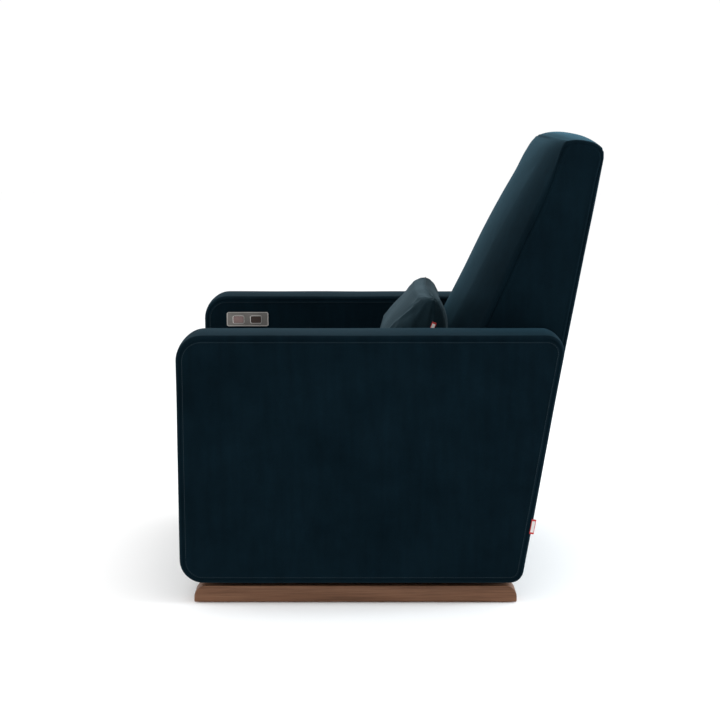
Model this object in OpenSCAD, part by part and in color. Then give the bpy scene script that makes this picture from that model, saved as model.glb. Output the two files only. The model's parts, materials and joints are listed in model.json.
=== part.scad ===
// Power glider recliner with slab arms, a wood sled base and a two-button arm panel.
// Millimetres. +X is the sitter's left, the chair faces -Y, +Z is up.
// The origin is on the floor under the middle of the chair.

/* [Overall] */
// Width over both arms
chair_w = 760; // [700:1:920]
// Depth from the arm fronts to the back's rear top corner
chair_d = 946; // [900:1:1140]
// Height to the crown of the back
chair_h = 1044; // [900:1:1260]

/* [Arms] */
// Thickness of one arm
arm_t = 120; // [100:1:144]
// Height of the arm's underside
arm_bottom = 52; // [48:1:70]
// Height of the arm's top
arm_top = 613; // [560:1:660]
// Lean of the arm's rear edge from vertical
arm_lean = 9.2; // [0:0.1:11]
// Foam and cover over the arm's inner frame
arm_wall = 22; // [15:1:30]
// Wood strip width of the arm's inner frame
arm_strip = 60; // [40:1:80]

/* [Runners] */
// Length of a wood runner
runner_len = 728; // [640:1:760]
// Thickness of a wood runner
runner_t = 45; // [36:1:54]
// Height of a wood runner above its pads
runner_h = 38; // [32:1:44]
// Step from the arm's outer face in to the runner's
runner_inset = 20; // [10:1:30]
// Distance from the arm front to the runner front
runner_setback = 29; // [10:1:60]
// Height of the felt floor pads below the runner
pad_h = 2; // [1:0.5:4]

/* [Seat] */
// Height of the seat cushion's top
seat_top = 474; // [450:1:520]
// Thickness of the seat cushion
seat_cushion_t = 73; // [60:1:88]
// Height of the seat's wood rails
seat_rail_h = 56; // [45:1:67]
// Thickness of the seat's wood rails
seat_rail_t = 23; // [18:1:27]
// Thickness of the seat's front border roll
seat_lip_t = 25; // [18:1:30]

/* [Back] */
// Lean of the back's rear face from vertical
back_lean = 10.2; // [6:0.1:14]
// Lean of the back's front face from vertical
front_lean = 26; // [22:0.5:30]
// Lean of the side seam, which sits behind the crowned front
seam_lean = 23.8; // [20:0.5:28]
// Height of the recline pivot
pivot_z = 360; // [350:1:366]
// Radius of the back's rounded lower end about the recline pivot
lobe_r = 110; // [100:1:112]
// How far the crown stands above the top side seams
crown_rise = 20; // [10:1:30]

/* [Mechanism] */
// Thickness of the steel side plates and links
plate_t = 5; // [4:0.5:6]
// Side gap between a plate and the link beside it
lane_gap = 3; // [2.5:0.5:3]
// Height of the glider's upper pivots
hang_z = 225; // [200:1:235]
// Length of a glide link between its pivots
link_len = 150; // [130:1:155]
// Distance between the front and rear glide links
link_span = 270; // [240:1:290]
// Diameter of the glide pivots
glide_pin_d = 12; // [10:1:14]
// Diameter of the legrest link pins
leg_pin_d = 10; // [8:1:11]
// Distance between the legrest's front and rear link pivots
leg_span = 60; // [56:1:66]
// Length of the legrest front link between its two main pivots
leg_link = 190; // [180:1:195]
// Radius of the drive crank
crank_r = 60; // [54:1:62]

/* [Footrest] */
// Height of the footrest panel
footrest_h = 275; // [240:1:278]
// Thickness of the footrest's padding
footrest_pad_t = 22; // [18:1:24]
// Thickness of the footrest's board
footrest_board_t = 12; // [9:1:15]

/* [Pillow] */
// Width of the lumbar pillow
pillow_w = 420; // [380:1:480]
// Height of the lumbar pillow along the back
pillow_h = 204; // [180:1:220]
// Fullness of the lumbar pillow in front of its seam
pillow_front = 98; // [60:1:100]
// Fullness of the lumbar pillow behind its seam, where the back presses it
pillow_rear = 38; // [25:1:40]
// Lean of the lumbar pillow's seam from vertical
pillow_lean = 8.5; // [6:0.5:12]

/* [Control panel] */
// Length of the control plate
panel_l = 108; // [100:1:130]
// Height of the control plate
panel_h = 37; // [32:1:44]
// Travel of a button
button_travel = 1.5; // [1:0.1:2]

/* [Clearances] */
// Radial clearance of a pin in its bore
pin_gap = 0.05; // [0.03:0.01:0.09]
// Gap between upholstery and its neighbours
soft_gap = 4; // [3:0.5:5]
// Gap around parts enclosed in upholstery
pocket_gap = 1; // [0.5:0.5:2]

/* [Hidden] */
$fn = 48;

velvet = [0.05, 0.12, 0.15];
walnut = [0.42, 0.28, 0.21];
steel = [0.45, 0.46, 0.48];
dark_steel = [0.16, 0.16, 0.17];
pine = [0.78, 0.66, 0.46];

// Lateral lanes, as distances from the middle plane
inner = chair_w / 2 - arm_t;
chassis_x = inner - lane_gap - plate_t;
link_x = chassis_x - lane_gap - plate_t;
base_x = link_x - lane_gap - plate_t;
rail_x = chassis_x - seat_rail_t;
leg_plate_t = 6;
leg_plate_x = rail_x - leg_plate_t;
outer_x = leg_plate_x - lane_gap - plate_t;
middle_x = outer_x - lane_gap - plate_t;
inner_x = middle_x - lane_gap - plate_t;
seat_half = inner - soft_gap;
lobe_half = chassis_x - lane_gap;
back_half = inner - soft_gap - 1;

// Side view places, as [y, z]
front_y = -chair_d / 2;
arm_rear_top = chair_d / 2 - 90;
arm_rear_bottom = arm_rear_top - (arm_top - arm_bottom) * tan(arm_lean);
back_round = 28;
back_rear_y = chair_d / 2 + back_round * (cos(back_lean) + sin(back_lean) - 1);
back_rear_z = chair_h - 31;
pivot_y = back_rear_y - (back_rear_z - pivot_z) * tan(back_lean) - lobe_r / cos(back_lean);
runner_y = front_y + runner_setback;
runner_x = chair_w / 2 - runner_inset - runner_t;
floor_z = pad_h;

// Glider linkage
base_mid_y = runner_y + runner_len / 2 + 100;
hang_front = [base_mid_y - link_span / 2, hang_z];
hang_rear = [base_mid_y + link_span / 2, hang_z];
foot_front = hang_front - [0, link_len];
foot_rear = hang_rear - [0, link_len];
cross_rail_w = 40;
cross_rail_h = 25;
cross_rail_z = floor_z + 10;
cross_front_y = hang_front[0] - 115;
cross_rear_y = hang_rear[0] + 30;
base_top = hang_z + 15;
link_w = 30;
bush_wall = 2;
glide_limit = 18;

// Seat frame
lip_y = front_y + 7;
board_back_y = lip_y + footrest_pad_t + footrest_board_t;
rail_top = seat_top - seat_cushion_t - 5;
rail_bottom = rail_top - seat_rail_h;
seat_front_y = lip_y + seat_lip_t + pocket_gap;
seat_rear_y = pivot_y - lobe_r - 3;
rail_rear_y = seat_rear_y - 22;
spring_t = 4;
chassis_tube_z = rail_bottom - 38;
chassis_tube_d = 25;
tube_front_y = board_back_y + 240;
tube_rear_y = pivot_y - 150;

// Legrest linkage, closed, as [y, z]
leg_pivot = [board_back_y + 70, rail_bottom - 50];
leg_pivot_rear = leg_pivot + [leg_span, 0];
leg_tail = 40;
closed_angle = 65;
link_dir = [cos(closed_angle), -sin(closed_angle)];
joint_x = leg_pivot + leg_link * link_dir;
joint_y = leg_pivot + (leg_link + leg_tail) * link_dir;
joint_r = joint_x + [leg_span, 0];
arm_vector = [-125, 192];
joint_b = joint_x + arm_vector;
joint_z = joint_y + arm_vector;
leg_w = 22;
footrest_top = rail_bottom - 5;
drive_tube_d = 25;
stub_d = 14;

// Drive
crank_pin = leg_pivot + crank_r * [cos(45), -sin(45)];
crank_pin_d = 10;
rod_z = leg_pivot[1] - crank_r * (1 + cos(45)) / 2;
slot_h = crank_r * (1 - cos(45)) + crank_pin_d + 3;
slot_w = crank_pin_d + 5;
rod_d = 20;
rod_travel = crank_r * 2 * sin(45);
motor_tube_front = crank_pin[0] + rod_travel + 35;

// Control panel on the inner face of the arm on the -X side
panel_y = front_y + 111;
panel_z = arm_top - 58;
panel_t = 3;
housing_d = 30;
button_l = 26;
button_h = 17;
button_at = [panel_y - 0.22 * panel_l, panel_y + 0.2 * panel_l];
cable_d = 6;
cable_z = rail_bottom + 18;
cable_y = board_back_y + 300;

// Lumbar pillow against the back's front face
front_base = [pivot_y - lobe_r - 66, seat_top + 13];
pillow_z = seat_top + soft_gap + pillow_h / 2 * cos(pillow_lean);
pillow_mid = [front_base[0] + (pillow_z - front_base[1]) * tan(front_lean)
    - (pillow_rear - 2) / cos(front_lean), pillow_z];

function unit(v) = v / norm(v);
function spun(p, a) = [p[0] * cos(a) - p[1] * sin(a), p[0] * sin(a) + p[1] * cos(a)];
function corner(a, b, c, r, n = 8) = r == 0 ? [b] :
    let (u = unit(a - b), v = unit(c - b), half = acos(u * v) / 2)
    let (centre = b + unit(u + v) * r / sin(half))
    let (start = b + u * r / tan(half) - centre, stop = b + v * r / tan(half) - centre)
    let (turn = sign(cross(start, stop)) * (180 - 2 * half))
    [for (i = [0 : n]) centre + spun(start, turn * i / n)];
function rounded(pts, radii) = [for (i = [0 : len(pts) - 1])
    each corner(pts[(i + len(pts) - 1) % len(pts)], pts[i], pts[(i + 1) % len(pts)], radii[i])];

// A side-view outline pushed through from x0 over a width w
module slab(x0, w) {
    translate([x0, 0, 0]) rotate([90, 0, 90]) linear_extrude(w) children();
}

// A round bar along X
module pin(x0, w, at, d) {
    translate([x0, at[0], at[1]]) rotate([0, 90, 0]) cylinder(d = d, h = w);
}

// The same thing on both sides, with x measured outward from the middle plane
module both() {
    children();
    mirror([1, 0, 0]) children();
}

module on_side(side) {
    mirror([side > 0 ? 0 : 1, 0, 0]) children();
}

// A flat bar with round ends, from p to q
module bar(p, q, w) {
    along = unit(q - p);
    polygon([for (end = [0, 1], i = [0 : 16])
        (end == 0 ? p : q) + spun(along, (end == 0 ? 90 : -90) + i * 180 / 16) * w / 2]);
}

module hole(at, d) {
    translate(at) circle(d = d);
}

// A block given by its low corner and its size
module block(at, size) {
    translate(at) cube(size);
}

module in_back() {
    translate([0, pivot_y, pivot_z]) rotate([-back_lean, 0, 0]) children();
}

// ---- wood sled base -------------------------------------------------------

module runner(side) {
    outline = rounded([[runner_y, floor_z], [runner_y + runner_len, floor_z],
        [runner_y + runner_len, floor_z + runner_h], [runner_y, floor_z + runner_h]],
        [3, 3, 26, 26]);
    color(walnut) on_side(side) slab(runner_x, runner_t) polygon(outline);
}

module runner_left() { runner(1); }
module runner_right() { runner(-1); }

module floor_pads() {
    color("dimgray") both() for (y = [runner_y + 20, runner_y + runner_len - 80])
        block([runner_x + 6, y, 0], [runner_t - 12, 60, pad_h]);
}

module cross_rail(y) {
    end_plate = 6;
    color(dark_steel) {
        block([-runner_x + end_plate, y - cross_rail_w / 2, cross_rail_z],
            [2 * (runner_x - end_plate), cross_rail_w, cross_rail_h]);
        both() {
            block([runner_x - end_plate, y - cross_rail_w / 2 - 16, cross_rail_z - 4],
                [end_plate, cross_rail_w + 32, cross_rail_h + 8 > runner_h ? runner_h - 12
                    : cross_rail_h + 4]);
            for (dy = [-28, 28])
                pin(runner_x - end_plate - 5, 5, [y + dy, cross_rail_z + 12], 10);
        }
    }
}

module cross_rail_front() { cross_rail(cross_front_y); }
module cross_rail_rear() { cross_rail(cross_rear_y); }

foot_w = 12;
module base_plate(side) {
    low = cross_rail_z + cross_rail_h;
    outline = rounded([[cross_front_y - 20, low], [cross_rear_y + 20, low],
        [hang_rear[0] + 24, base_top], [hang_front[0] - 24, base_top]], [4, 4, 20, 20]);
    color(dark_steel) on_side(side) {
        slab(base_x, plate_t) difference() {
            polygon(outline);
            hole(hang_front, glide_pin_d);
            hole(hang_rear, glide_pin_d);
            for (i = [-1 : 1]) hole([base_mid_y + i * 90, hang_z - 75], 70);
        }
        for (y = [cross_front_y, cross_rear_y])
            block([base_x - foot_w, y - 18, low], [foot_w, 36, plate_t]);
    }
}

module base_plate_left() { base_plate(1); }
module base_plate_right() { base_plate(-1); }

module base_tube() {
    color(dark_steel) pin(-base_x, 2 * base_x, [base_mid_y, base_tube_z], 25);
}
base_tube_z = hang_z - 138;

// Shoulder pins fixed in the base plates, on which the glide links swing
module base_pins() {
    color(steel) both() for (at = [hang_front, hang_rear]) {
        pin(base_x - 4, plate_t + lane_gap + plate_t + 4.4, at, glide_pin_d);
        pin(base_x - 7, 7, at, glide_pin_d + 8);
        pin(link_x + plate_t + 0.4, lane_gap - 0.9, at, glide_pin_d + 6);
    }
}

// Rubber stops that the front links meet at the ends of the glide
module bump_stops() {
    reach = 100;
    side_gap = link_w / 2 + 8 + 1.5;
    color("black") both() for (s = [-1, 1])
        pin(base_x + plate_t, lane_gap + plate_t,
            hang_front + reach * [s * sin(glide_limit), -cos(glide_limit)]
            + side_gap * [s * cos(glide_limit), sin(glide_limit)], 16);
}

module glide_links(top, low) {
    color(steel) both() slab(link_x, plate_t) difference() {
        bar(top, low, link_w);
        hole(top, glide_pin_d + 2 * bush_wall + 2 * pin_gap);
        hole(low, glide_pin_d + 2 * bush_wall + 2 * pin_gap);
    }
}

module glide_bushings(top, low) {
    color("white") both() for (at = [top, low]) difference() {
        union() {
            pin(link_x, plate_t, at, glide_pin_d + 2 * bush_wall + 2 * pin_gap - 0.02);
            if (at == top) pin(link_x - lane_gap + 0.5, lane_gap - 0.5, at, glide_pin_d + 10);
            if (at == low) pin(link_x + plate_t, lane_gap - 0.5, at, glide_pin_d + 10);
        }
        pin(link_x - 10, 30, at, glide_pin_d + 2 * pin_gap);
    }
}

module glide_links_front() { glide_links(hang_front, foot_front); }
module glide_links_rear() { glide_links(hang_rear, foot_rear); }
module glide_bushings_front() { glide_bushings(hang_front, foot_front); }
module glide_bushings_rear() { glide_bushings(hang_rear, foot_rear); }

// ---- gliding chassis ------------------------------------------------------

bolt_d = 8;
arm_bolt_at = [[board_back_y + 40, rail_bottom - 24], [base_mid_y, rail_bottom - 24],
    [pivot_y - 13, pivot_z - lobe_r - 22]];

module chassis_plate(side) {
    low = foot_front[1] - 20;
    outline = rounded([[seat_front_y, rail_top], [seat_front_y, rail_bottom - 40],
        [foot_front[0] - 40, low], [foot_rear[0] + 40, low],
        [pivot_y + 32, pivot_z - 40], [pivot_y + 32, pivot_z + 32], [pivot_y - 30, rail_top]],
        [10, 10, 25, 25, 30, 30, 0]);
    color(dark_steel) on_side(side) slab(chassis_x, plate_t) difference() {
        polygon(outline);
        hole(foot_front, glide_pin_d);
        hole(foot_rear, glide_pin_d);
        hole([pivot_y, pivot_z], glide_pin_d);
        for (at = arm_bolt_at) hole(at, bolt_d);
        if (side < 0) hole([cable_y, cable_z], cable_d + 4);
        for (i = [-1 : 1]) hole([base_mid_y + i * 95, hang_z - 20], 75);
    }
}

module chassis_plate_left() { chassis_plate(1); }
module chassis_plate_right() { chassis_plate(-1); }

// Cross tubes between the chassis plates; the rear one carries the actuator
module chassis_tubes() {
    color(dark_steel) {
        for (y = [tube_front_y, tube_rear_y])
            pin(-chassis_x, 2 * chassis_x, [y, chassis_tube_z], chassis_tube_d);
        for (x = [-26, 20])
            slab(x, 6) difference() {
                bar([tube_rear_y, chassis_tube_z - chassis_tube_d / 2 - 6],
                    [tube_rear_y, rod_z], 26);
                hole([tube_rear_y, rod_z], 10 + 2 * pin_gap);
            }
        pin(-30, 60, [tube_rear_y, rod_z], 10);
    }
}

module chassis_pins() {
    color(steel) both() for (at = [foot_front, foot_rear]) {
        pin(link_x - 0.4, plate_t + lane_gap + plate_t + 0.4, at, glide_pin_d);
        pin(link_x - lane_gap + 0.5, lane_gap - 0.9, at, glide_pin_d + 6);
        pin(chassis_x + plate_t, lane_gap - 0.5, at, glide_pin_d + 6);
    }
}

module arm_outline(inset) {
    r = [52, 30, 38, 56];
    polygon(rounded([[front_y + inset, arm_bottom + inset],
        [arm_rear_bottom - inset, arm_bottom + inset],
        [arm_rear_top - inset, arm_top - inset], [front_y + inset, arm_top - inset]],
        [for (v = r) max(v - inset, 4)]));
}

// Foam and velvet over the arm's wood frame, hollow for the frame
module arm_cover(side) {
    color(velvet) on_side(side) difference() {
        slab(inner, arm_t) arm_outline(0);
        slab(inner + arm_wall, arm_t - 2 * arm_wall) arm_outline(arm_wall);
        for (at = arm_bolt_at) pin(inner - 1, arm_wall + 2, at, bolt_d + 2);
        if (side < 0) {
            block([inner - 1, panel_y - panel_l / 2 + 3, panel_z - panel_h / 2 + 3],
                [arm_wall + 2, panel_l - 6, panel_h - 6]);
            pin(inner - 1, arm_wall + 2, [cable_y, cable_z], cable_d + 4);
        }
    }
}

module arm_cover_left() { arm_cover(1); }
module arm_cover_right() { arm_cover(-1); }

// Wood frame in the arm: a ring of strips, and on its inner face the board that takes the bolts
module arm_frame(side) {
    near = arm_wall + pocket_gap;
    board_t = 24;
    low = arm_bolt_at[2][1] - 24;
    color(pine) on_side(side) {
        slab(inner + near + board_t, arm_t - 2 * near - board_t) difference() {
            arm_outline(near);
            arm_outline(near + arm_strip);
        }
        slab(inner + near, board_t) difference() {
            translate([front_y + near + 16, low])
                square([arm_rear_bottom - front_y - 2 * near - 16, rail_bottom + 8 - low]);
            for (at = arm_bolt_at) hole(at, bolt_d + 2 * pin_gap);
        }
    }
}

module arm_frame_left() { arm_frame(1); }
module arm_frame_right() { arm_frame(-1); }

// Bolts from the chassis plates into the arm frames, with spacers
module arm_bolts() {
    color(steel) both() for (at = arm_bolt_at) {
        pin(chassis_x + 0.2, lane_gap + plate_t + arm_wall + 20, at, bolt_d - 0.1);
        pin(chassis_x - 5, 5, at, bolt_d + 6);
        pin(chassis_x + plate_t, lane_gap - 0.2, at, bolt_d + 10);
    }
}

tag_z = arm_bottom + 115;
module arm_tag() {
    color("firebrick") translate([chair_w / 2 - 9, arm_rear_bottom, arm_bottom])
        rotate([-arm_lean, 0, 0]) translate([0, 0.3, tag_z - arm_bottom]) cube([1.6, 7, 35]);
}

// A board that leans like the arms' rear edges, set in from them
rear_panel_t = 25;
rear_panel_inset = 10;
rear_panel_low = 12;
module rear_panel_block(inset) {
    top = (pivot_z - lobe_r - 4 - arm_bottom) / cos(arm_lean);
    translate([0, arm_rear_bottom - rear_panel_inset, arm_bottom]) rotate([-arm_lean, 0, 0])
        block([-lobe_half + inset, -rear_panel_t + inset, rear_panel_low + inset],
            [2 * (lobe_half - inset), rear_panel_t - 2 * inset, top - rear_panel_low - 2 * inset]);
}

// Fixed cover over the mechanism, below the back
module rear_panel() {
    color(velvet) difference() {
        rear_panel_block(0);
        rear_panel_block(6);
    }
}

module rear_board() {
    color(pine) rear_panel_block(6 + pocket_gap / 2);
}

// ---- control panel, cable and power ---------------------------------------

module panel_outline(grow) {
    l = panel_l / 2 + grow;
    h = panel_h / 2 + grow;
    translate([panel_y, panel_z])
        polygon(rounded([[-l, -h], [l, -h], [l, h], [-l, h]], [5, 5, 5, 5]));
}

module button_outline(y, grow) {
    l = button_l / 2 + grow;
    h = button_h / 2 + grow;
    translate([y, panel_z - 1])
        polygon(rounded([[-l, -h], [l, -h], [l, h], [-l, h]], [4, 4, 4, 4]));
}

module control_plate() {
    color("silver") on_side(-1) slab(inner - panel_t, panel_t - 0.1) difference() {
        panel_outline(0);
        for (y = button_at) button_outline(y, 0.5);
    }
}

module control_housing() {
    color("black") on_side(-1) difference() {
        slab(inner, housing_d) translate([panel_y, panel_z])
            square([panel_l - 12, panel_h - 10], center = true);
        slab(inner - 1, housing_d - 4) for (y = button_at) button_outline(y, 1.5);
        pin(inner + housing_d - 5, 6, [panel_y, panel_z], cable_d);
    }
}

// A button cap with the stem and the flange that keeps it in the plate
module button(y) {
    rest = inner - panel_t - 1;
    color([0.35, 0.31, 0.31]) on_side(-1) {
        slab(rest, panel_t + 3) button_outline(y, 0);
        slab(inner + 0.1, 2) button_outline(y, 1.0);
        pin(inner + 1, 12, [y, panel_z - 1], 6);
    }
}

module recline_button() { button(button_at[0]); }
module return_button() { button(button_at[1]); }

// Cable held inside the arm, from the buttons to the control box under the seat
module control_cable() {
    x = inner + housing_d + 8;
    color("black") on_side(-1) {
        pin(inner + housing_d - 4, 12, [panel_y, panel_z], cable_d - 0.4);
        for (at = [[panel_y, panel_z], [panel_y, cable_z], [cable_y, cable_z]])
            translate([x, at[0], at[1]]) sphere(d = cable_d);
        translate([x, panel_y, cable_z]) cylinder(d = cable_d, h = panel_z - cable_z);
        translate([x, panel_y, cable_z]) rotate([-90, 0, 0])
            cylinder(d = cable_d, h = cable_y - panel_y);
        pin(rail_x - 1, x - rail_x + 1, [cable_y, cable_z], cable_d);
    }
}

module control_box() {
    color("black") on_side(-1)
        block([rail_x - 41, cable_y - 50, rail_bottom + 4], [40, 100, 34]);
}

// Socket for a low-voltage supply lead, on the rear panel
module power_inlet() {
    color("black") translate([150, arm_rear_bottom - rear_panel_inset, arm_bottom])
        rotate([-arm_lean, 0, 0]) translate([0, 0, 50]) rotate([-90, 0, 0]) difference() {
            cylinder(d = 24, h = 3);
            translate([0, 0, 0.8]) cylinder(d = 9, h = 5);
        }
}

// ---- seat -----------------------------------------------------------------

module seat_rails() {
    w = rail_rear_y - seat_front_y;
    color(pine) difference() {
        union() {
            both() block([rail_x, seat_front_y, rail_bottom], [seat_rail_t, w + 22, seat_rail_h]);
            for (y = [seat_front_y, rail_rear_y])
                block([-rail_x + 0.3, y, rail_bottom], [2 * rail_x - 0.6, 22, seat_rail_h]);
        }
        mirror([1, 0, 0]) pin(rail_x - 5, seat_rail_t + 10, [cable_y, cable_z], cable_d + 4);
    }
}

// Sinuous springs across the seat frame
function wave(n, pitch, swing) = [for (i = [0 : n * 8]) [i * pitch / 8, swing * sin(i * 45)]];
function band(line, t) = let (last = len(line) - 1,
    side = [for (i = [0 : last]) let (d = unit(line[min(i + 1, last)] - line[max(i - 1, 0)]))
        [-d[1], d[0]] * t / 2])
    concat([for (i = [0 : last]) line[i] + side[i]],
        [for (i = [last : -1 : 0]) line[i] - side[i]]);

module sinuous(length, count) {
    linear_extrude(spring_t) polygon(band(wave(count, length / count, 20), spring_t));
}

module seat_springs() {
    color(steel) for (i = [-2 : 2])
        translate([i * 82, seat_front_y + 4, rail_top]) rotate([0, 0, 90])
            sinuous(rail_rear_y + 16 - seat_front_y, 10);
}

module seat_cushion() {
    low = seat_top - seat_cushion_t;
    color(velvet) slab(-seat_half, 2 * seat_half) polygon(rounded([
        [lip_y, footrest_top + 3], [lip_y + seat_lip_t, footrest_top + 3],
        [lip_y + seat_lip_t, low], [seat_rear_y, low],
        [seat_rear_y, seat_top], [lip_y, seat_top]], [10, 3, 0, 6, 12, 34]));
}

// ---- reclining back -------------------------------------------------------

function front_at(z) = front_base[0] + (z - front_base[1]) * tan(front_lean);
function rear_at(z) = back_rear_y - (back_rear_z - z) * tan(back_lean);

// Upper block of the back: a thin slice at its own width, with the front moved back by drop
module back_slice(half, drop, fall, r_top) {
    top_z = chair_h - fall;
    front_top = front_at(top_z) + drop;
    slab(-half, 2 * half) polygon(rounded([
        [front_at(front_base[1]) + drop, front_base[1]],
        [rear_at(front_base[1]), front_base[1]],
        [back_rear_y, back_rear_z],
        [back_rear_y - 66, top_z],
        [front_top, top_z]], [18, 0, back_round, 40, r_top]));
}

module back_cushion() {
    color(velvet) difference() {
        union() {
            hull() {
                back_slice(back_half * 0.55, 0, 0, 56);
                back_slice(back_half * 0.86, 18, 5, 50);
                back_slice(back_half, 55, crown_rise, 24);
            }
            slab(-lobe_half, 2 * lobe_half) {
                translate([pivot_y, pivot_z]) circle(r = lobe_r, $fn = 96);
                polygon([[pivot_y - lobe_r, pivot_z], [pivot_y, pivot_z],
                    [pivot_y + lobe_r * cos(back_lean), pivot_z - lobe_r * sin(back_lean)],
                    [rear_at(front_base[1] + 20), front_base[1] + 20],
                    [pivot_y - lobe_r, front_base[1] + 20]]);
            }
        }
        in_back() back_pocket();
        pin(-lobe_half - 10, 2 * lobe_half + 20, [pivot_y, pivot_z], glide_pin_d + 8);
    }
}

pocket_front = 38;
pocket_rear = lobe_r - 14;
back_len = (back_rear_z - pivot_z) / cos(back_lean);
pocket_top = back_len - 36;
frame_x = lobe_half - 2 - pocket_gap;

module back_pocket() {
    block([-lobe_half + 2, pocket_front, -50],
        [2 * (lobe_half - 2), pocket_rear - pocket_front, pocket_top + 50]);
    block([-lobe_half + 2, -28, -28], [2 * (lobe_half - 2), 28 + pocket_front + 1, 70]);
}

// In the back's own directions: y is out through the rear face and z is up along it
stile_x = frame_x - plate_t - 25;
stile_y = pocket_rear - pocket_gap - 42;

module back_stiles() {
    color(pine) in_back() both()
        block([stile_x, stile_y, -30], [25, 42, pocket_top + 30 - pocket_gap]);
}

module back_rails() {
    color(pine) in_back() for (z = [0, pocket_top * 0.5, pocket_top - 62])
        block([-stile_x, stile_y + 8, z], [2 * stile_x, 30, 60]);
}

module back_brackets() {
    bracket = rounded([[-20, -20], [stile_y + 30, -24], [stile_y + 38, 190],
        [stile_y + 6, 190], [stile_y - 4, 40], [-20, 20]], [19, 8, 10, 10, 20, 19]);
    color(dark_steel) in_back() both() slab(frame_x - plate_t, plate_t) difference() {
        polygon(bracket);
        circle(d = glide_pin_d + 2 * pin_gap);
    }
}

module back_springs() {
    color(steel) in_back() for (i = [-2 : 2])
        translate([i * 76, stile_y + 8, 20]) rotate([90, -90, 0])
            sinuous(pocket_top - 42, 10);
}

// Shoulder bolts through the chassis plates into the back brackets
module back_bolts() {
    color(steel) both() {
        pin(frame_x - plate_t - 4, chassis_x - frame_x + 2 * plate_t + 4, [pivot_y, pivot_z],
            glide_pin_d);
        pin(chassis_x + plate_t, lane_gap - 0.5, [pivot_y, pivot_z], glide_pin_d + 8);
    }
}

// ---- legrest --------------------------------------------------------------

module legrest_plates() {
    outline = rounded([leg_pivot + [-22, -20], leg_pivot_rear + [22, -20],
        [leg_pivot_rear[0] + 30, rail_bottom + 44], [leg_pivot[0] - 30, rail_bottom + 44]],
        [16, 16, 4, 4]);
    color(dark_steel) both() slab(leg_plate_x, leg_plate_t) difference() {
        polygon(outline);
        hole(leg_pivot, stub_d + 2 * pin_gap);
        hole(leg_pivot_rear, leg_pin_d + 0.04);
    }
}

module legrest_rear_pins() {
    color(steel) both() {
        pin(middle_x - 0.4, rail_x - middle_x + 0.4, leg_pivot_rear, leg_pin_d);
        pin(middle_x - 2.4, 2, leg_pivot_rear, leg_pin_d + 6);
    }
}

// Torque tube that joins the two front links and turns in the legrest plates
module drive_tube() {
    color(steel) {
        difference() {
            pin(-middle_x, 2 * middle_x, leg_pivot, drive_tube_d);
            pin(-middle_x + 10, 2 * middle_x - 20, leg_pivot, drive_tube_d - 5);
        }
        both() pin(middle_x, rail_x - 0.5 - middle_x, leg_pivot, stub_d);
    }
}

module drive_crank() {
    color(dark_steel) {
        for (x = [-17, 11]) slab(x, 6) difference() {
            bar(leg_pivot, crank_pin, drive_tube_d + 9);
            hole(leg_pivot, drive_tube_d + 0.04);
        }
        pin(-14, 28, crank_pin, crank_pin_d);
    }
}

module front_links() {
    color(steel) both() slab(middle_x, plate_t) difference() {
        bar(leg_pivot, joint_y, leg_w);
        hole(leg_pivot, stub_d + 0.04);
        hole(joint_x, leg_pin_d + 0.04);
        hole(joint_y, leg_pin_d + 0.04);
    }
}

// Pins of the front links: outward to the outer links, inward to the inner links
module front_link_pins() {
    color(steel) both() {
        pin(middle_x, outer_x + plate_t + 0.4 - middle_x, joint_x, leg_pin_d);
        pin(outer_x + plate_t + 0.4, 2, joint_x, leg_pin_d + 5);
        pin(inner_x - 0.4, middle_x + plate_t + 0.4 - inner_x, joint_y, leg_pin_d);
        pin(inner_x - 2.4, 2, joint_y, leg_pin_d + 5);
    }
}

module rear_links() {
    color(steel) both() slab(middle_x, plate_t) difference() {
        bar(leg_pivot_rear, joint_r, leg_w);
        hole(leg_pivot_rear, leg_pin_d + 2 * pin_gap);
        hole(joint_r, leg_pin_d + 0.04);
    }
}

module rear_link_pins() {
    color(steel) both() {
        pin(middle_x, outer_x + plate_t + 0.4 - middle_x, joint_r, leg_pin_d);
        pin(outer_x + plate_t + 0.4, 2, joint_r, leg_pin_d + 5);
    }
}

module outer_links() {
    color(steel) both() slab(outer_x, plate_t) difference() {
        union() {
            bar(joint_r, joint_x, leg_w);
            bar(joint_x, joint_b, leg_w);
        }
        hole(joint_r, leg_pin_d + 2 * pin_gap);
        hole(joint_x, leg_pin_d + 2 * pin_gap);
        hole(joint_b, leg_pin_d + 0.04);
    }
}

module outer_link_pins() {
    color(steel) both() {
        pin(middle_x - 0.4, outer_x + plate_t - middle_x + 0.4, joint_b, leg_pin_d);
        pin(middle_x - 2.4, 2, joint_b, leg_pin_d + 5);
    }
}

module inner_links() {
    color(steel) both() slab(inner_x, plate_t) difference() {
        bar(joint_y, joint_z, leg_w);
        hole(joint_y, leg_pin_d + 2 * pin_gap);
        hole(joint_z, leg_pin_d + 2 * pin_gap);
    }
}

// Angle brackets that carry the footrest, each with its pin for the inner link
module footrest_brackets() {
    outline = rounded([joint_z + [12, -13], joint_b + [13, 14],
        [board_back_y, joint_b[1] + 14], [board_back_y, joint_z[1] - 40]], [10, 10, 0, 0]);
    color(dark_steel) both() {
        slab(middle_x, plate_t) difference() {
            polygon(outline);
            hole(joint_b, leg_pin_d + 2 * pin_gap);
        }
        block([middle_x - 30, board_back_y, joint_z[1] - 40],
            [30, 4, joint_b[1] + 14 - joint_z[1] + 40]);
        pin(inner_x - 0.4, middle_x - inner_x + 0.4, joint_z, leg_pin_d);
        pin(inner_x - 2.4, 2, joint_z, leg_pin_d + 5);
    }
}

module footrest_board() {
    color(pine) block([-seat_half + 16, board_back_y - footrest_board_t,
        footrest_top - footrest_h + 12], [2 * seat_half - 32, footrest_board_t, footrest_h - 24]);
}

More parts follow.
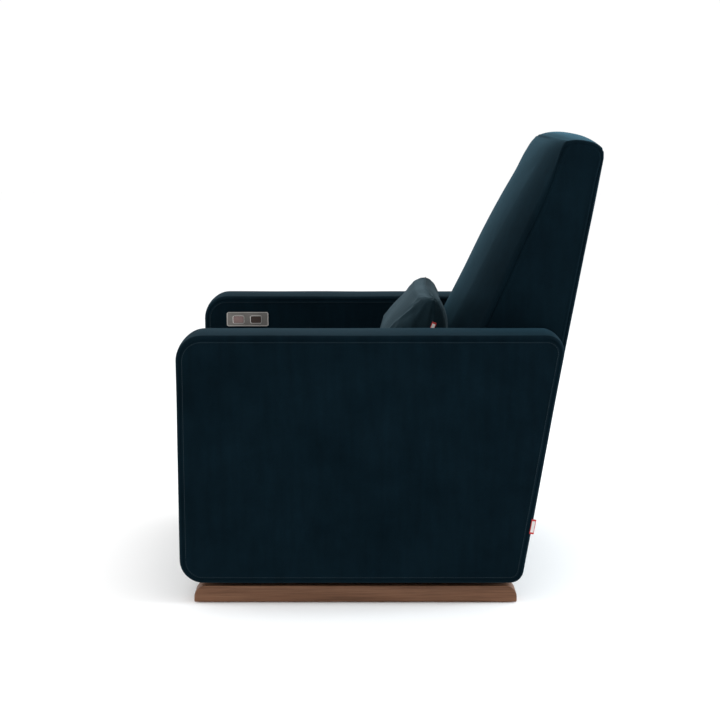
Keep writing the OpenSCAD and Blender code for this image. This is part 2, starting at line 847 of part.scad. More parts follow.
module footrest_pad() {
    color(velvet) difference() {
        slab(-lobe_half, 2 * lobe_half) polygon(rounded([
            [lip_y, footrest_top - footrest_h], [board_back_y - 2, footrest_top - footrest_h],
            [board_back_y - 2, footrest_top], [lip_y, footrest_top]], [12, 3, 3, 12]));
        block([-seat_half + 15, board_back_y - footrest_board_t - 1,
            footrest_top - footrest_h + 11], [2 * seat_half - 30, footrest_board_t + 2,
            footrest_h - 22]);
    }
}

// ---- power drive ----------------------------------------------------------

// Motor, gearbox and guide tube of the linear drive
module actuator_motor() {
    gear_y = tube_rear_y - 62;
    color("black") difference() {
        union() {
            block([-30, gear_y, rod_z - 26], [60, 44, 52]);
            slab(-18, 36) bar([tube_rear_y, rod_z], [gear_y + 40, rod_z], 24);
            translate([0, gear_y + 22, rod_z + 20]) rotate([0, 90, 0])
                translate([0, 0, 30]) cylinder(d = 42, h = 90);
            translate([0, motor_tube_front, rod_z]) rotate([-90, 0, 0])
                cylinder(d = 32, h = gear_y - motor_tube_front);
        }
        translate([0, motor_tube_front - 1, rod_z]) rotate([-90, 0, 0])
            cylinder(d = rod_d + 2 * pin_gap, h = gear_y - 8 - motor_tube_front);
        pin(-31, 62, [tube_rear_y, rod_z], 10.04);
    }
}

// Pushrod with a slotted end that drives the crank pin
module actuator_rod() {
    head_y = crank_pin[0];
    head_front = head_y - slot_w / 2 - 6;
    color("silver") {
        slab(-7, 14) difference() {
            translate([head_front, rod_z - slot_h / 2 - 6]) square([slot_w + 20, slot_h + 12]);
            translate([head_y - slot_w / 2, rod_z - slot_h / 2]) square([slot_w, slot_h]);
        }
        translate([0, head_front + slot_w + 19, rod_z]) rotate([-90, 0, 0])
            cylinder(d = rod_d, h = motor_tube_front + rod_travel + 45 - head_front - slot_w - 19);
    }
}

// ---- pillow ---------------------------------------------------------------

// In the pillow's own directions: y is out through its rear and z is up along it
module in_pillow() {
    translate([0, pillow_mid[0], pillow_mid[1]]) rotate([-pillow_lean, 0, 0]) children();
}

// Side view of the pillow, fullest low down; k shrinks it towards its seam
module pillow_section(x, k, tall) {
    up = [-0.5, -0.45, -0.35, -0.2, -0.05, 0.13, 0.28, 0.4, 0.5] * pillow_h * tall;
    front = [0, 0.6, 0.88, 1, 0.99, 0.83, 0.63, 0.38, 0] * pillow_front * k;
    rear = [0, 0.05, 0.2, 0.52, 0.79, 1, 0.9, 0.52, 0] * pillow_rear * k;
    slab(x, 0.5) polygon(concat([for (i = [0 : 8]) [-front[i], up[i]]],
        [for (i = [7 : -1 : 1]) [rear[i], up[i]]]));
}

module pillow() {
    color([0.2, 0.29, 0.33]) in_pillow() hull() both() {
        pillow_section(pillow_w * 0.3, 1, 1);
        pillow_section(pillow_w * 0.43, 0.78, 1);
        pillow_section(pillow_w * 0.48, 0.4, 0.98);
        pillow_section(pillow_w * 0.5 - 0.5, 0.05, 0.9);
    }
}

module pillow_tag() {
    color("firebrick") in_pillow() block([pillow_w / 2 + 0.3, -5, 2], [1.6, 10, 35]);
}

runner_left();
runner_right();
floor_pads();
cross_rail_front();
cross_rail_rear();
base_plate_left();
base_plate_right();
base_tube();
base_pins();
bump_stops();
glide_links_front();
glide_links_rear();
glide_bushings_front();
glide_bushings_rear();
chassis_plate_left();
chassis_plate_right();
chassis_tubes();
chassis_pins();
arm_cover_left();
arm_cover_right();
arm_frame_left();
arm_frame_right();
arm_bolts();
arm_tag();
rear_panel();
rear_board();
control_plate();
control_housing();
control_cable();
control_box();
power_inlet();
recline_button();
return_button();
seat_rails();
seat_springs();
seat_cushion();
back_cushion();
back_stiles();
back_rails();
back_brackets();
back_springs();
back_bolts();
legrest_plates();
legrest_rear_pins();
drive_tube();
drive_crank();
front_links();
front_link_pins();
rear_links();
rear_link_pins();
outer_links();
outer_link_pins();
inner_links();
footrest_brackets();
footrest_board();
footrest_pad();
actuator_motor();
actuator_rod();
pillow();
pillow_tag();
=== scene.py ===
import json
import math

import bmesh
import bpy
import numpy as np
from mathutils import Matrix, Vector, noise
from mathutils.bvhtree import BVHTree
from mathutils.kdtree import KDTree


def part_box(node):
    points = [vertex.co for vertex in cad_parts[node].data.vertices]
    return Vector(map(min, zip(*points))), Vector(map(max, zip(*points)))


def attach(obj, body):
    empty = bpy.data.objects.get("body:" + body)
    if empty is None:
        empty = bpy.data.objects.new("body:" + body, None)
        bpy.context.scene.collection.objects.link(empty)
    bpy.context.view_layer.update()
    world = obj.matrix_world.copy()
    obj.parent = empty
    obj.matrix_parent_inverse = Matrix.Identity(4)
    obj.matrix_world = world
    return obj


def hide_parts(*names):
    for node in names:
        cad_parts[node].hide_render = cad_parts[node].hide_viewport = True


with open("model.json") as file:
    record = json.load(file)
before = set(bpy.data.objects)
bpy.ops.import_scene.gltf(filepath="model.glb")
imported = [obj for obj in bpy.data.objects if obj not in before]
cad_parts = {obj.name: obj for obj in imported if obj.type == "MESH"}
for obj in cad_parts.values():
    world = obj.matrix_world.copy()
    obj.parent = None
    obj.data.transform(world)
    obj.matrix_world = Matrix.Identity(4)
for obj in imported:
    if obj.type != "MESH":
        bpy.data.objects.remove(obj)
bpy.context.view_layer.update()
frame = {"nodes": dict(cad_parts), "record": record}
nodes = frame["nodes"]
scene = bpy.context.scene

# ---- sizes, in metres and degrees, as in the CAD ---------------------------------------------
MM = 0.001
ARM_LEAN = 9.2
ARM_RADII = [52 * MM, 30 * MM, 38 * MM, 56 * MM]
ARM_EDGE = 8 * MM
ARM_CROWN = 2.5 * MM
ARM_BULGE = 2.5 * MM
ARM_SEAM_IN = 1 * MM
ARM_STITCHES_IN = 6 * MM
BACK_LEAN = 10.2
BACK_EDGE = 8 * MM
PIVOT_Z = 0.360
LOBE_R = 0.110
OVERHANG_Z = 0.487
SEAT_THICK = 73 * MM
SEAT_LIP = 25 * MM
SEAT_EDGE = 9 * MM
SEAT_DOME = 9 * MM
SEAT_FRONT_BULGE = 4 * MM
FOOTREST_EDGE = 7 * MM
FOOTREST_BULGE = 5 * MM
PILLOW_LEAN = 8.5
PILLOW_GAP = 3 * MM
PANEL_EDGE = 6 * MM
PANEL_REAR_RISE = 19 * MM
PANEL_FRONT_RISE = 3 * MM
TAG_WIDE = 10 * MM
TAG_TALL = 34 * MM
SEAM_DEPTH = 1.7 * MM
CAP_STEPS = [1.2, 2.2, 3.2, 4.2, 5.4, 6.8, 8.4, 10.2, 12.4, 15, 18.5, 23]

arm_low, arm_high = (np.array(c, float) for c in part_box("arm_cover_left"))
back_high = np.array(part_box("back_cushion")[1], float)
seat_low, seat_high = (np.array(c, float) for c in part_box("seat_cushion"))
pad_low, pad_high = (np.array(c, float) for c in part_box("footrest_pad"))
pillow_low, pillow_high = (np.array(c, float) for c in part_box("pillow"))


def tan(degrees):
    return math.tan(math.radians(degrees))


def sin(degrees):
    return math.sin(math.radians(degrees))


def cos(degrees):
    return math.cos(math.radians(degrees))


# ---- outlines ---------------------------------------------------------------------------------
def clustered(count):
    """Interior steps from 0 to 1 that crowd towards both ends, where the seams lie."""
    t = np.linspace(0, 1, count + 2)[1:-1]
    return t + (t * t * (3 - 2 * t) - t) * 0.75


def corner_arc(before, at, after, radius, steps):
    """Points of the round that replaces one corner."""
    if radius == 0:
        return np.array([at])
    u = (before - at) / np.linalg.norm(before - at)
    v = (after - at) / np.linalg.norm(after - at)
    half = math.acos(float(np.clip(u @ v, -1, 1))) / 2
    centre = at + (u + v) / np.linalg.norm(u + v) * radius / math.sin(half)
    start = at + u * radius / math.tan(half) - centre
    stop = at + v * radius / math.tan(half) - centre
    sweep = math.atan2(start[0] * stop[1] - start[1] * stop[0], float(start @ stop))
    angles = sweep * np.linspace(0, 1, steps + 1)
    return centre + np.stack([
        start[0] * np.cos(angles) - start[1] * np.sin(angles),
        start[0] * np.sin(angles) + start[1] * np.cos(angles)], 1)


def outline(corners, radii, counts, steps=12):
    """A closed outline with round corners; counts are the interior points of each side."""
    corners = [np.array(c, float) for c in corners]
    arcs = [corner_arc(corners[i - 1], c, corners[(i + 1) % len(corners)], radii[i], steps)
            for i, c in enumerate(corners)]
    points = []
    for i, arc in enumerate(arcs):
        points.extend(arc)
        ahead = arcs[(i + 1) % len(arcs)][0]
        points.extend(arc[-1] + (ahead - arc[-1]) * t for t in clustered(counts[i]))
    return np.array(points)


def inward(loop):
    """Unit normals that point into a counter-clockwise outline."""
    ahead = np.roll(loop, -1, 0) - np.roll(loop, 1, 0)
    ahead /= np.linalg.norm(ahead, axis=1)[:, None]
    return np.stack([-ahead[:, 1], ahead[:, 0]], 1)


def drawn_in(loop, centre, amount):
    """The outline drawn in by amount along the rays to centre, so that it never folds."""
    normal = inward(loop)
    to_centre = centre - loop
    depth = np.abs((to_centre * normal).sum(1))
    depth = np.maximum(depth, 0.3 * np.linalg.norm(to_centre, axis=1))
    for _ in range(6):
        depth = (np.roll(depth, 1) + 2 * depth + np.roll(depth, -1)) / 4
    return loop + to_centre * (amount / depth)[:, None]


# ---- meshes -----------------------------------------------------------------------------------
def new_object(name, verts, faces, material):
    mesh = bpy.data.meshes.new(name)
    mesh.from_pydata([tuple(v) for v in verts], [], faces)
    mesh.validate()
    mesh.shade_smooth()
    mesh.materials.append(material)
    piece = bpy.data.objects.new(name, mesh)
    scene.collection.objects.link(piece)
    return piece


def points_of(piece):
    co = np.empty(len(piece.data.vertices) * 3)
    piece.data.vertices.foreach_get("co", co)
    return co.reshape(-1, 3)


def set_points(piece, co):
    piece.data.vertices.foreach_set("co", np.asarray(co, float).ravel())
    piece.data.update()


def normals_of(piece):
    vec = np.empty(len(piece.data.vertices) * 3)
    piece.data.vertex_normals.foreach_get("vector", vec)
    return vec.reshape(-1, 3)


def outward(piece):
    """Turns every face to look outward, whatever way the loops ran."""
    bm = bmesh.new()
    bm.from_mesh(piece.data)
    bmesh.ops.recalc_face_normals(bm, faces=bm.faces)
    bm.to_mesh(piece.data)
    bm.free()


def slab(name, stations, centre, material, crown=0.0):
    """A closed body: one outline [y, z] at each station x, capped by rings that shrink to a point.
    The rings lie close together near the rim, where the seams are sewn.
    crown is how far each cap's middle stands proud of its rim."""
    verts = []
    for x, loop in stations:
        verts.extend((x, y, z) for y, z in loop)
    count = len(stations[0][1])
    rings = len(stations)
    caps = []
    for (x, loop), side in ((stations[0], -1), (stations[-1], 1)):
        first = len(verts)
        reach = np.linalg.norm(loop - centre, axis=1).mean()
        near = [1 - d * MM / reach for d in CAP_STEPS if d * MM < 0.6 * reach]
        shares = near + list(np.linspace(near[-1], 0, 24)[1:-1])
        for k in shares:
            ring = centre + (loop - centre) * k
            bulge = crown * side * (1 - k ** 4)
            verts.extend((x + bulge, y, z) for y, z in ring)
        verts.append((x + crown * side, centre[0], centre[1]))
        caps.append((first, len(shares)))
    faces = []

    def strip(a, b):
        for j in range(count):
            faces.append((a + j, a + (j + 1) % count, b + (j + 1) % count, b + j))

    for i in range(rings - 1):
        strip(i * count, (i + 1) * count)
    for (first, depth), rim in zip(caps, (0, (rings - 1) * count)):
        strip(rim, first)
        for i in range(depth - 1):
            strip(first + i * count, first + (i + 1) * count)
        last = first + (depth - 1) * count
        tip = first + depth * count
        faces.extend((last + j, last + (j + 1) % count, tip) for j in range(count))
    piece = new_object(name, verts, faces, material)
    outward(piece)
    return piece


def edge_stations(half, edge, inner_count, steps=6):
    """(x, inset) pairs across a body whose side edges are rounded by edge."""
    turn = [math.pi / 2 * i / steps for i in range(1, steps + 1)]
    right = [(half - edge, 0.0)]
    right += [(half - edge + edge * math.sin(t), edge * (1 - math.cos(t))) for t in turn]
    left = [(-x, inset) for x, inset in reversed(right)]
    even = np.sin(np.linspace(-1, 1, inner_count) * 1.35) / math.sin(1.35)
    return left + [((half - edge) * t, 0.0) for t in even[1:-1]] + right


def ripple(piece, amount, scale, seed=0.0):
    """Gentle unevenness of stuffed fabric, along the surface's own normals."""
    co, normal = points_of(piece), normals_of(piece)
    shift = Vector((seed, seed * 1.7, seed * 0.6))
    lift = np.array([noise.noise(Vector(p) * scale + shift) for p in co])
    set_points(piece, co + normal * (lift * amount)[:, None])


def dense(path, step=1.2 * MM, closed=False):
    """The same path with points every step."""
    path = np.array(path, float)
    if closed:
        path = np.vstack([path, path[:1]])
    length = np.r_[0, np.cumsum(np.linalg.norm(np.diff(path, axis=0), axis=1))]
    even = np.arange(0, length[-1], step)
    return np.stack([np.interp(even, length, path[:, k]) for k in range(3)], 1), even


def sew(piece, seams, depth=SEAM_DEPTH, width=1.5 * MM, pucker=0.25 * MM, pitch=15 * MM):
    """Pulls a seam groove into the surface, with a soft roll and small puckers on both sides."""
    co, normal = points_of(piece), normals_of(piece)
    reach = 18 * MM
    for path, closed in seams:
        line, along = dense(path, closed=closed)
        tree = KDTree(len(line))
        for i, p in enumerate(line):
            tree.insert(p, i)
        tree.balance()
        low, high = line.min(0) - reach, line.max(0) + reach
        near = np.nonzero(((co > low) & (co < high)).all(1))[0]
        for i in near:
            _, at, gap = tree.find(co[i])
            if gap > reach:
                continue
            wave = math.sin(along[at] / pitch * 2 * math.pi
                            + 2.5 * noise.noise(Vector((along[at] * 9, 3.1, 0))))
            lift = -depth * math.exp(-(gap / width) ** 2)
            lift += 0.45 * depth * math.exp(-((gap - 4.5 * MM) / (2.8 * MM)) ** 2)
            lift += pucker * wave * math.exp(-gap / (6 * MM)) * (1 - math.exp(-(gap / width) ** 2))
            co[i] += normal[i] * lift
    set_points(piece, co)


def laid_on(piece, path, direction):
    """The path dropped along direction until it lies on the piece."""
    tree = BVHTree.FromPolygons([v.co for v in piece.data.vertices],
                                [list(p.vertices) for p in piece.data.polygons])
    return [tuple(tree.ray_cast(Vector(p), Vector(direction))[0]) for p in path]


def topstitch(name, paths, material, pitch=5.2 * MM, length=3.4 * MM, radius=0.42 * MM):
    """Rows of thread stitches lying on the cloth. Each path is (points, normal direction)."""
    verts, faces = [], []
    sides = 6
    for points, up in paths:
        line, along = dense(points)
        up = np.array(up, float)
        count = int(along[-1] / pitch)
        for k in range(count):
            ends = [k * pitch, k * pitch + length]
            a, b = (np.array([np.interp(e, along, line[:, c]) for c in range(3)]) for e in ends)
            t = (b - a) / np.linalg.norm(b - a)
            side = np.cross(t, up)
            side /= np.linalg.norm(side)
            rise = np.cross(side, t)
            first = len(verts)
            for share, size in ((0, 0.35), (0.2, 1), (0.8, 1), (1, 0.35)):
                lift = 0.2 * radius * math.sin(math.pi * share) - 0.35 * radius
                mid = a + (b - a) * share + rise * lift
                for s in range(sides):
                    angle = 2 * math.pi * s / sides
                    ring = side * math.cos(angle) + rise * math.sin(angle)
                    verts.append(mid + ring * radius * size)
            for r in range(3):
                for s in range(sides):
                    n = (s + 1) % sides
                    faces.append((first + r * sides + s, first + r * sides + n,
                                  first + (r + 1) * sides + n, first + (r + 1) * sides + s))
            faces.append(tuple(first + s for s in range(sides)))
            faces.append(tuple(first + 3 * sides + s for s in reversed(range(sides))))
    piece = new_object(name, verts, faces, material)
    outward(piece)
    return piece


def inflate(piece, pressure, cap, frames=16, pins=None, stiffness=12.0):
    """Swells a cushion by cloth simulation and keeps the result, moved no further than cap."""
    start = points_of(piece)
    cloth = piece.modifiers.new("cloth", "CLOTH")
    values = cloth.settings
    values.quality = 4
    values.mass = 0.35
    values.tension_stiffness = stiffness
    values.compression_stiffness = stiffness
    values.shear_stiffness = stiffness * 0.6
    values.bending_stiffness = 0.8
    values.air_damping = 4.0
    values.use_pressure = True
    values.uniform_pressure_force = pressure
    values.effector_weights.gravity = 0.0
    cloth.collision_settings.use_collision = False
    if pins is not None:
        group = piece.vertex_groups.new(name="pins")
        for i in np.nonzero(pins > 0)[0]:
            group.add([int(i)], float(pins[i]), "REPLACE")
        values.vertex_group_mass = "pins"
    cloth.point_cache.frame_start = 1
    cloth.point_cache.frame_end = frames
    for f in range(1, frames + 1):
        scene.frame_set(f)
    shaped = piece.evaluated_get(bpy.context.evaluated_depsgraph_get())
    co = np.empty(len(shaped.data.vertices) * 3)
    shaped.data.vertices.foreach_get("co", co)
    move = co.reshape(-1, 3) - start
    piece.modifiers.remove(cloth)
    piece.vertex_groups.clear()
    scene.frame_set(1)
    size = np.linalg.norm(move, axis=1)
    limit = cap * np.tanh(size / cap)
    set_points(piece, start + move * (limit / np.maximum(size, 1e-9))[:, None])


def seat_on(piece, body, slot, *replaced):
    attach(piece, body)
    if replaced:
        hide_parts(*replaced)
    return piece


# ---- materials --------------------------------------------------------------------------------
def new_material(name):
    material = bpy.data.materials.new(name)
    material.use_nodes = True
    tree = material.node_tree
    return material, tree, tree.nodes["Principled BSDF"]


def node(tree, kind, **values):
    made = tree.nodes.new(kind)
    for key, value in values.items():
        if key in made.inputs:
            made.inputs[key].default_value = value
        else:
            setattr(made, key, value)
    return made


def coordinates(tree, scale=(1, 1, 1)):
    place = node(tree, "ShaderNodeTexCoord")
    mapping = node(tree, "ShaderNodeMapping")
    mapping.inputs["Scale"].default_value = scale
    tree.links.new(place.outputs["Object"], mapping.inputs["Vector"])
    return mapping.outputs["Vector"]


def noise_at(tree, vector, scale, detail=3.0, rough=0.55):
    made = node(tree, "ShaderNodeTexNoise", Scale=scale, Detail=detail, Roughness=rough)
    tree.links.new(vector, made.inputs["Vector"])
    return made.outputs["Fac"]


def ramp(tree, factor, stops):
    made = node(tree, "ShaderNodeValToRGB")
    elements = made.color_ramp.elements
    while len(elements) < len(stops):
        elements.new(0.5)
    for element, (position, colour) in zip(elements, stops):
        element.position = position
        element.color = (*colour, 1)
    tree.links.new(factor, made.inputs["Fac"])
    return made.outputs["Color"]


def mix_colour(tree, kind, factor, a, b):
    made = node(tree, "ShaderNodeMix", data_type="RGBA", blend_type=kind)
    made.inputs[0].default_value = factor
    tree.links.new(a, made.inputs[6])
    tree.links.new(b, made.inputs[7])
    return made.outputs[2]


def bump(tree, shader, layers):
    """Chains (height, strength, distance) layers into the shader's normal."""
    last = None
    for height, strength, distance in layers:
        made = node(tree, "ShaderNodeBump", Strength=strength, Distance=distance)
        tree.links.new(height, made.inputs["Height"])
        if last:
            tree.links.new(last, made.inputs["Normal"])
        last = made.outputs["Normal"]
    tree.links.new(last, shader.inputs["Normal"])


def grey(value):
    return (value, value, value)


def velvet(name, deep, light, sheen=0.17, tint=(0.20, 0.50, 0.68)):
    """Short-pile velvet: patches of brushed pile, fine fibres and a soft sheen."""
    material, tree, shader = new_material(name)
    place = coordinates(tree)
    patches = ramp(tree, noise_at(tree, place, 7.0, 5.0, 0.62), [(0.3, deep), (0.72, light)])
    streaks = noise_at(tree, coordinates(tree, (60, 60, 9)), 1.0, 3.0)
    fibres = noise_at(tree, place, 1500.0, 2.0, 0.7)
    grain = ramp(tree, fibres, [(0.25, grey(0.62)), (0.8, grey(1.35))])
    brushed = ramp(tree, streaks, [(0.3, grey(0.86)), (0.7, grey(1.14))])
    colour = mix_colour(tree, "MULTIPLY", 1.0, patches, grain)
    colour = mix_colour(tree, "MULTIPLY", 0.8, colour, brushed)
    tree.links.new(colour, shader.inputs["Base Color"])
    shader.inputs["Roughness"].default_value = 0.88
    shader.inputs["Specular IOR Level"].default_value = 0.03
    shader.inputs["Sheen Weight"].default_value = sheen
    shader.inputs["Sheen Roughness"].default_value = 0.34
    shader.inputs["Sheen Tint"].default_value = (*tint, 1)
    bump(tree, shader, [
        (noise_at(tree, place, 26.0, 3.0), 0.25, 1.6 * MM),
        (noise_at(tree, place, 190.0, 3.0), 0.22, 0.35 * MM),
        (fibres, 0.5, 0.12 * MM)])
    return material


def wood(name, stops, along, gloss):
    """Straight-grained wood; along is the grain's axis, 0 to 2."""
    material, tree, shader = new_material(name)
    stretch = [46.0, 46.0, 46.0]
    stretch[along] = 2.4
    bands = noise_at(tree, coordinates(tree, stretch), 1.0, 6.0, 0.62)
    fine = [420.0, 420.0, 420.0]
    fine[along] = 9.0
    pores = noise_at(tree, coordinates(tree, fine), 1.0, 3.0, 0.6)
    figure = noise_at(tree, coordinates(tree, (6, 6, 6)), 1.0, 2.0)
    base = ramp(tree, bands, stops)
    dark = ramp(tree, pores, [(0.36, grey(0.62)), (0.52, grey(1.0))])
    broad = ramp(tree, figure, [(0.3, grey(0.86)), (0.7, grey(1.12))])
    colour = mix_colour(tree, "MULTIPLY", 0.75, base, dark)
    colour = mix_colour(tree, "MULTIPLY", 0.8, colour, broad)
    tree.links.new(colour, shader.inputs["Base Color"])
    rough = ramp(tree, pores, [(0.35, grey(gloss + 0.18)), (0.6, grey(gloss))])
    tree.links.new(rough, shader.inputs["Roughness"])
    shader.inputs["Specular IOR Level"].default_value = 0.25
    bump(tree, shader, [(bands, 0.12, 0.3 * MM), (pores, 0.35, 0.12 * MM)])
    return material


def metal(name, colour, rough, brushed=None):
    """Plated or brushed metal with faint streaks; brushed is the streaks' axis."""
    material, tree, shader = new_material(name)
    stretch = [900.0, 900.0, 900.0]
    if brushed is not None:
        stretch[brushed] = 14.0
    streaks = noise_at(tree, coordinates(tree, stretch), 1.0, 3.0)
    cloudy = noise_at(tree, coordinates(tree), 34.0, 4.0)
    tone = ramp(tree, cloudy, [(0.3, [c * 0.86 for c in colour]), (0.7, [c * 1.1 for c in colour])])
    tree.links.new(tone, shader.inputs["Base Color"])
    shader.inputs["Metallic"].default_value = 1.0
    spread = ramp(tree, streaks, [(0.3, grey(rough * 0.8)), (0.7, grey(min(1, rough * 1.25)))])
    tree.links.new(spread, shader.inputs["Roughness"])
    bump(tree, shader, [(streaks, 0.2, 0.05 * MM)])
    return material


def coated(name, colour, rough, grain=420.0, depth=0.12):
    """Powder coat, moulded plastic or rubber with a fine pebble grain."""
    material, tree, shader = new_material(name)
    place = coordinates(tree)
    pebbles = noise_at(tree, place, grain, 3.0)
    cloudy = noise_at(tree, place, 18.0, 4.0)
    tone = ramp(tree, cloudy, [(0.3, [c * 0.8 for c in colour]), (0.7, [c * 1.2 for c in colour])])
    tree.links.new(tone, shader.inputs["Base Color"])
    spread = ramp(tree, pebbles, [(0.3, grey(rough * 0.88)), (0.7, grey(min(1, rough * 1.1)))])
    tree.links.new(spread, shader.inputs["Roughness"])
    bump(tree, shader, [(pebbles, 0.35, depth * MM)])
    return material


def woven(name, colour, pitch):
    """Plain woven ribbon or felt with crossing threads."""
    material, tree, shader = new_material(name)
    place = coordinates(tree)
    heights = []
    for direction in ("Y", "Z"):
        wave = node(tree, "ShaderNodeTexWave", Scale=1 / pitch / 6.28, Distortion=0.6)
        wave.bands_direction = direction
        tree.links.new(place, wave.inputs["Vector"])
        heights.append(wave.outputs["Color"])
    weave = mix_colour(tree, "MULTIPLY", 1.0, heights[0], heights[1])
    tone = ramp(tree, weave, [(0.1, [c * 0.72 for c in colour]), (0.8, colour)])
    tree.links.new(tone, shader.inputs["Base Color"])
    shader.inputs["Roughness"].default_value = 0.82
    shader.inputs["Sheen Weight"].default_value = 0.2
    bump(tree, shader, [(weave, 0.5, 0.2 * MM)])
    return material


teal = velvet("teal_velvet", (0.0010, 0.0047, 0.0078), (0.0020, 0.0082, 0.0129), 0.25)
arm_teal = velvet("arm_velvet", (0.0010, 0.0052, 0.0086), (0.0022, 0.0088, 0.0140), 0.075)
pillow_teal = velvet("pillow_velvet", (0.0042, 0.0110, 0.0152), (0.0084, 0.0194, 0.0258), 0.33,
                     (0.34, 0.52, 0.62))
thread = coated("teal_thread", (0.006, 0.020, 0.028), 0.8, 900.0)
walnut = wood("walnut", [(0.25, (0.075, 0.032, 0.015)), (0.5, (0.140, 0.063, 0.032)),
                         (0.78, (0.215, 0.108, 0.060))], 1, 0.5)
pine = wood("pine", [(0.25, (0.46, 0.30, 0.15)), (0.75, (0.66, 0.49, 0.28))], 0, 0.6)
dark_steel = coated("black_powder_coat", (0.022, 0.022, 0.024), 0.42, 700.0)
zinc = metal("zinc_plate", (0.50, 0.50, 0.52), 0.32)
satin_plate = metal("satin_plate", (0.25, 0.235, 0.22), 0.42, brushed=1)
bright_rim = metal("bright_rim", (0.66, 0.63, 0.60), 0.30, brushed=1)
# Painted reflections: both button caps are the same bright metal, one coloured light rosy and one
# dark to stand in for the light and the dark that each reflects.
button_bright_reflection = metal("button_bright_reflection", (0.33, 0.235, 0.225), 0.45, brushed=1)
button_dark_reflection = metal("button_dark_reflection", (0.095, 0.070, 0.062), 0.45, brushed=1)
nylon = coated("natural_nylon", (0.66, 0.64, 0.58), 0.5, 500.0)
rubber = coated("black_rubber", (0.014, 0.014, 0.015), 0.7, 260.0)
moulded = coated("black_plastic", (0.016, 0.016, 0.018), 0.48, 620.0)
felt = woven("grey_felt", (0.10, 0.095, 0.09), 1.2 * MM)
red_ribbon = woven("red_ribbon", (0.52, 0.022, 0.020), 0.5 * MM)
white_ribbon = woven("white_ribbon", (0.72, 0.71, 0.69), 0.5 * MM)

finishes = {
    "walnut": walnut, "pine": pine, "dark_steel": dark_steel, "steel": zinc, "bush": nylon,
    "rubber": rubber, "felt": felt, "plate": satin_plate, "button_a": button_bright_reflection,
    "button_b": button_dark_reflection, "black_plastic": moulded, "tag_red": red_ribbon,
    "tag_white": white_ribbon, "velvet": teal, "pillow_velvet": pillow_teal,
}
slot_of = {s["node"]: s["material_slot"] for s in frame["record"]["subparts"]}
for name, cad in nodes.items():
    cad.data.materials.clear()
    cad.data.materials.append(finishes[slot_of[name]])


# ---- arms -------------------------------------------------------------------------------------
def arm_outline(inset=0.0):
    low, high = arm_low[1:], arm_high[1:]
    lean = (high[1] - low[1]) * tan(ARM_LEAN)
    rear = arm_rear_line + lean
    corners = [(low[0] + inset, low[1] + inset), (arm_rear_line - inset, low[1] + inset),
               (rear - inset, high[1] - inset), (low[0] + inset, high[1] - inset)]
    return outline(corners, [r - inset for r in ARM_RADII], [90, 62, 96, 62])


def arm_bottom_rear():
    """Where the rear line meets the arm's underside; the box only reaches the rounded top."""
    height = arm_high[2] - arm_low[2]
    top = arm_high[1] + ARM_RADII[2] * (1 / cos(ARM_LEAN) + tan(ARM_LEAN) - 1)
    return top - height * tan(ARM_LEAN)


arm_rear_line = arm_bottom_rear()


def make_arm(side, body_name, cad_name):
    half = (arm_high[0] - arm_low[0]) / 2
    middle = side * (arm_high[0] + arm_low[0]) / 2
    base = arm_outline()
    normal = inward(base)
    stations = [(middle + x, base + normal * (inset - ARM_CROWN * (1 - (x / half) ** 2)))
                for x, inset in edge_stations(half, ARM_EDGE, 18)]
    centre = base.mean(0)
    piece = slab(body_name, stations, centre, arm_teal, crown=0.6 * MM)
    co = points_of(piece)
    spread = np.linalg.norm((co[:, 1:] - centre) / (base.max(0) - base.min(0)) * 2, axis=1)
    outer = side * (co[:, 0] - middle) > half - 0.1 * MM
    co[:, 0] += side * np.where(outer, ARM_BULGE * np.clip(1 - spread ** 4, 0, 1), 0)
    set_points(piece, co)
    ripple(piece, 0.9 * MM, 6.0, side * 3.0)
    seams = []
    for face in (-1, 1):
        loop = base + normal * (ARM_EDGE + ARM_SEAM_IN)
        seams.append(([(middle + face * half, y, z) for y, z in loop], True))
    sew(piece, seams)
    rows = []
    for face in (-1, 1):
        loop = base + normal * (ARM_EDGE + ARM_STITCHES_IN)
        row = [(middle + face * (half + 20 * MM), y, z) for y, z in np.vstack([loop, loop[:1]])]
        rows.append((laid_on(piece, row, (-face, 0, 0)), (face, 0, 0)))
    stitches = topstitch(body_name + "_stitches", rows, thread)
    seat_on(stitches, "chassis", "velvet")
    return seat_on(piece, "chassis", "velvet", cad_name)


arms = [make_arm(1, "arm_upholstery_left", "arm_cover_left"),
        make_arm(-1, "arm_upholstery_right", "arm_cover_right")]


# ---- reclining back ---------------------------------------------------------------------------
back_half = back_high[0]
lobe_half = pad_high[0]
back_top_y = back_high[1] + 28 * MM * (cos(BACK_LEAN) + sin(BACK_LEAN) - 1)
back_top_z = back_high[2] - 31 * MM
pivot_y = back_top_y - (back_top_z - PIVOT_Z) * tan(BACK_LEAN) - LOBE_R / cos(BACK_LEAN)
FRONT_POINTS, TOP_POINTS, REAR_POINTS = 120, 44, 90
BACK_CENTRE = np.array([pivot_y + 0.045, 0.64])
# The front face and the top in side view, in the middle and at the sides of the back: depth and
# height in mm, counted from the rear and the top of the CAD back's box
MIDDLE_FRONT = [(-403, -557), (-294, -339), (-247, -242), (-195, -144), (-167, -95), (-140, -46),
                (-122, -22), (-109, -12)]
SIDE_FRONT = [(-321, -557), (-222, -325), (-182, -232), (-133, -128), (-108, -66), (-94, -24),
              (-88.5, -15)]
MIDDLE_TOP = [(-109, -12), (-96, -6), (-76, -2), (-51, -2.5), (-28, -8), (-11, -19), (-4, -34),
              (-2.9, -50)]
SIDE_TOP = [(-88.5, -15), (-66, -12), (-41, -14.5), (-20, -20.5), (-8, -30), (-3.6, -42),
            (-3.3, -52)]


